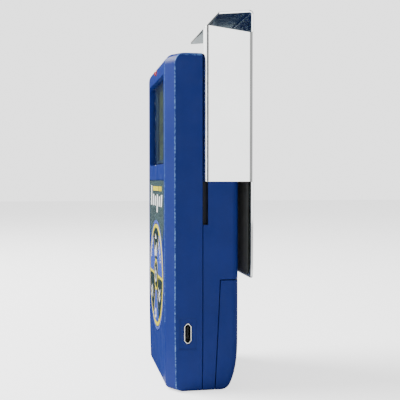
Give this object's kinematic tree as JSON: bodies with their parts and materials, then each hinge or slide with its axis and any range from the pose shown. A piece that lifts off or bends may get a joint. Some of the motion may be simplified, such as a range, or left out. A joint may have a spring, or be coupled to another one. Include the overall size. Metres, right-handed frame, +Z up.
{
  "type": "handheld pulse-rate meter",
  "caption": "Handheld pulse counting meter in a two-part plastic case with display, round keypad and a slide-on steel sample holder on its back.",
  "frame": {"origin": "centre of the footprint of the whole object, on the surface that the case stands on", "axes": "+X to the meter's own right side with the USB socket, as seen facing the display; -Y is the display face; +Z up"},
  "size_m": [0.0704, 0.0372, 0.1579],
  "materials": {
    "case_plastic": "fine moulded texture, satin",
    "window": "clear acrylic pane",
    "display": "olive reflective display",
    "diffuser": "white diffuser",
    "frame_plastic": "slate blue moulding",
    "label": "printed polyester, glossy",
    "ring_print": "yellow satin print",
    "key_blue": "periwinkle satin",
    "key_dark": "dark grey-green satin",
    "silicone": "grey silicone",
    "lamp": "red tinted epoxy",
    "socket_steel": "tinned steel",
    "black_plastic": "black epoxy moulding",
    "board": "green solder mask",
    "nickel": "nickel plated",
    "mica": "thin mica sheet",
    "foam": "black closed-cell foam",
    "cell_wrap": "dark sleeve, drawn can",
    "holder_steel": "mirror-polished stainless sheet",
    "liner": "black liner, dull"
  },
  "bodies": {
    "case": {"front_case": "case_plastic", "rear_case": "case_plastic", "display_window": "window", "display_cell": "display", "display_backlight": "diffuser", "display_frame": "frame_plastic", "face_label": "label", "keypad_ring": "ring_print", "dome_mat": "silicone", "indicator_lamp": "lamp", "usb_socket_shell": "socket_steel", "usb_socket_tongue": "black_plastic", "main_board": "board", "processor_chip": "black_plastic", "memory_chip": "black_plastic", "high_voltage_coil": "black_plastic", "sounder": "black_plastic", "detector_can": "nickel", "detector_window": "mica", "detector_anode": "nickel", "detector_gasket": "foam", "detector_screen": "nickel", "battery_lower": "cell_wrap", "battery_upper": "cell_wrap", "battery_lower_spring": "nickel", "battery_upper_spring": "nickel", "battery_lower_contact": "nickel", "battery_upper_contact": "nickel", "case_screw_1": "nickel", "case_screw_2": "nickel", "case_screw_3": "nickel", "case_screw_4": "nickel"},
    "sample_holder": {"holder_plate": "holder_steel", "holder_liner": "liner"},
    "battery_door": {"battery_door": "case_plastic"},
    "key_upper_left_cap": {"key_upper_left": "key_blue"},
    "key_upper_right_cap": {"key_upper_right": "key_blue"},
    "key_top_cap": {"key_top": "key_dark"},
    "key_lower_left_cap": {"key_lower_left": "key_dark"},
    "key_lower_right_cap": {"key_lower_right": "key_dark"},
    "key_bottom_cap": {"key_bottom": "key_blue"},
    "key_centre_cap": {"key_centre": "key_dark"}
  },
  "joints": [
    {"name": "holder_slide", "type": "slide", "parent": "case", "child": "sample_holder", "axis": [0, 0, 1], "range_m": [-0.0156, 0.05]},
    {"name": "battery_door_slide", "type": "slide", "parent": "case", "child": "battery_door", "axis": [0, 0, -1], "range_m": [0, 0.02]},
    {"name": "key_upper_left_press", "type": "slide", "parent": "case", "child": "key_upper_left_cap", "axis": [0, 1, 0], "range_m": [0, 0.0004], "stiffness_N_per_m": 900},
    {"name": "key_upper_right_press", "type": "slide", "parent": "case", "child": "key_upper_right_cap", "axis": [0, 1, 0], "range_m": [0, 0.0004], "stiffness_N_per_m": 900},
    {"name": "key_top_press", "type": "slide", "parent": "case", "child": "key_top_cap", "axis": [0, 1, 0], "range_m": [0, 0.0004], "stiffness_N_per_m": 900},
    {"name": "key_lower_left_press", "type": "slide", "parent": "case", "child": "key_lower_left_cap", "axis": [0, 1, 0], "range_m": [0, 0.0004], "stiffness_N_per_m": 900},
    {"name": "key_lower_right_press", "type": "slide", "parent": "case", "child": "key_lower_right_cap", "axis": [0, 1, 0], "range_m": [0, 0.0004], "stiffness_N_per_m": 900},
    {"name": "key_bottom_press", "type": "slide", "parent": "case", "child": "key_bottom_cap", "axis": [0, 1, 0], "range_m": [0, 0.0004], "stiffness_N_per_m": 900},
    {"name": "key_centre_press", "type": "slide", "parent": "case", "child": "key_centre_cap", "axis": [0, 1, 0], "range_m": [0, 0.0004], "stiffness_N_per_m": 900}
  ]
}
